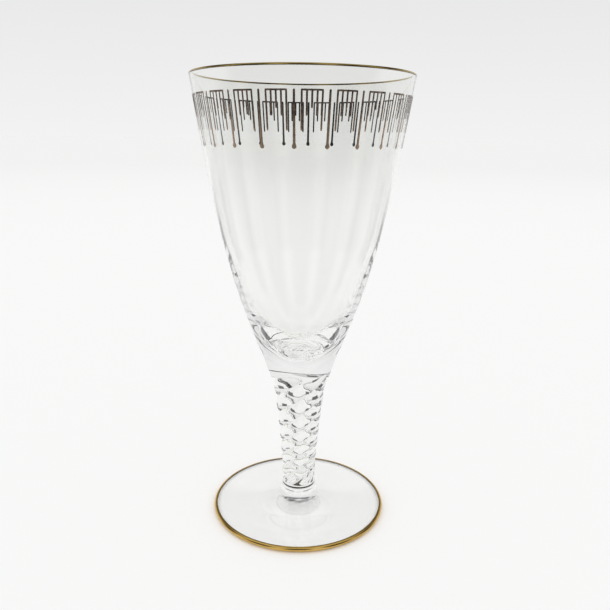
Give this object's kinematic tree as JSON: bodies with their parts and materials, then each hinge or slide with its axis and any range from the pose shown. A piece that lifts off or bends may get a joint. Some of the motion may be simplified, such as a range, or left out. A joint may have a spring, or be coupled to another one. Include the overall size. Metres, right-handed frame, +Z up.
{
  "type": "white wine glass",
  "caption": "Clear stemmed wine glass: tall tapering bowl with gilded lip and hanging metallic fringe, solid stem with twisted lobes, round foot with gilded edge.",
  "frame": {"origin": "centre of the foot's underside, in the plane that the glass stands on", "axes": "+Z up along the stem to the lip; -Y is the front, as the picture shows it; +X to the right"},
  "size_m": [0.0798, 0.0798, 0.17],
  "materials": {
    "clear_glass": "clear, fire-polished, colourless with a faint grey-green cast where thick",
    "gilding": "burnished gold, fired on, darker where it curves away",
    "fringe_lustre": "thin brown-black metallic lustre, drawn by pen and fired on"
  },
  "bodies": {
    "root": {"bowl": "clear_glass", "stem": "clear_glass", "foot": "clear_glass", "lip_gilding": "gilding", "foot_gilding": "gilding", "fringe_drop_01": "fringe_lustre", "fringe_comb_01": "fringe_lustre", "fringe_drop_02": "fringe_lustre", "fringe_comb_02": "fringe_lustre", "fringe_drop_03": "fringe_lustre", "fringe_comb_03": "fringe_lustre", "fringe_drop_04": "fringe_lustre", "fringe_comb_04": "fringe_lustre", "fringe_drop_05": "fringe_lustre", "fringe_comb_05": "fringe_lustre", "fringe_drop_06": "fringe_lustre", "fringe_comb_06": "fringe_lustre", "fringe_drop_07": "fringe_lustre", "fringe_comb_07": "fringe_lustre", "fringe_drop_08": "fringe_lustre", "fringe_comb_08": "fringe_lustre", "fringe_drop_09": "fringe_lustre", "fringe_comb_09": "fringe_lustre", "fringe_drop_10": "fringe_lustre", "fringe_comb_10": "fringe_lustre", "fringe_drop_11": "fringe_lustre", "fringe_comb_11": "fringe_lustre", "fringe_drop_12": "fringe_lustre", "fringe_comb_12": "fringe_lustre", "fringe_drop_13": "fringe_lustre", "fringe_comb_13": "fringe_lustre", "fringe_drop_14": "fringe_lustre", "fringe_comb_14": "fringe_lustre", "fringe_drop_15": "fringe_lustre", "fringe_comb_15": "fringe_lustre", "fringe_drop_16": "fringe_lustre", "fringe_comb_16": "fringe_lustre", "fringe_drop_17": "fringe_lustre", "fringe_comb_17": "fringe_lustre", "fringe_drop_18": "fringe_lustre", "fringe_comb_18": "fringe_lustre", "fringe_drop_19": "fringe_lustre", "fringe_comb_19": "fringe_lustre", "fringe_drop_20": "fringe_lustre", "fringe_comb_20": "fringe_lustre", "fringe_drop_21": "fringe_lustre", "fringe_comb_21": "fringe_lustre", "fringe_drop_22": "fringe_lustre", "fringe_comb_22": "fringe_lustre"}
  },
  "joints": []
}
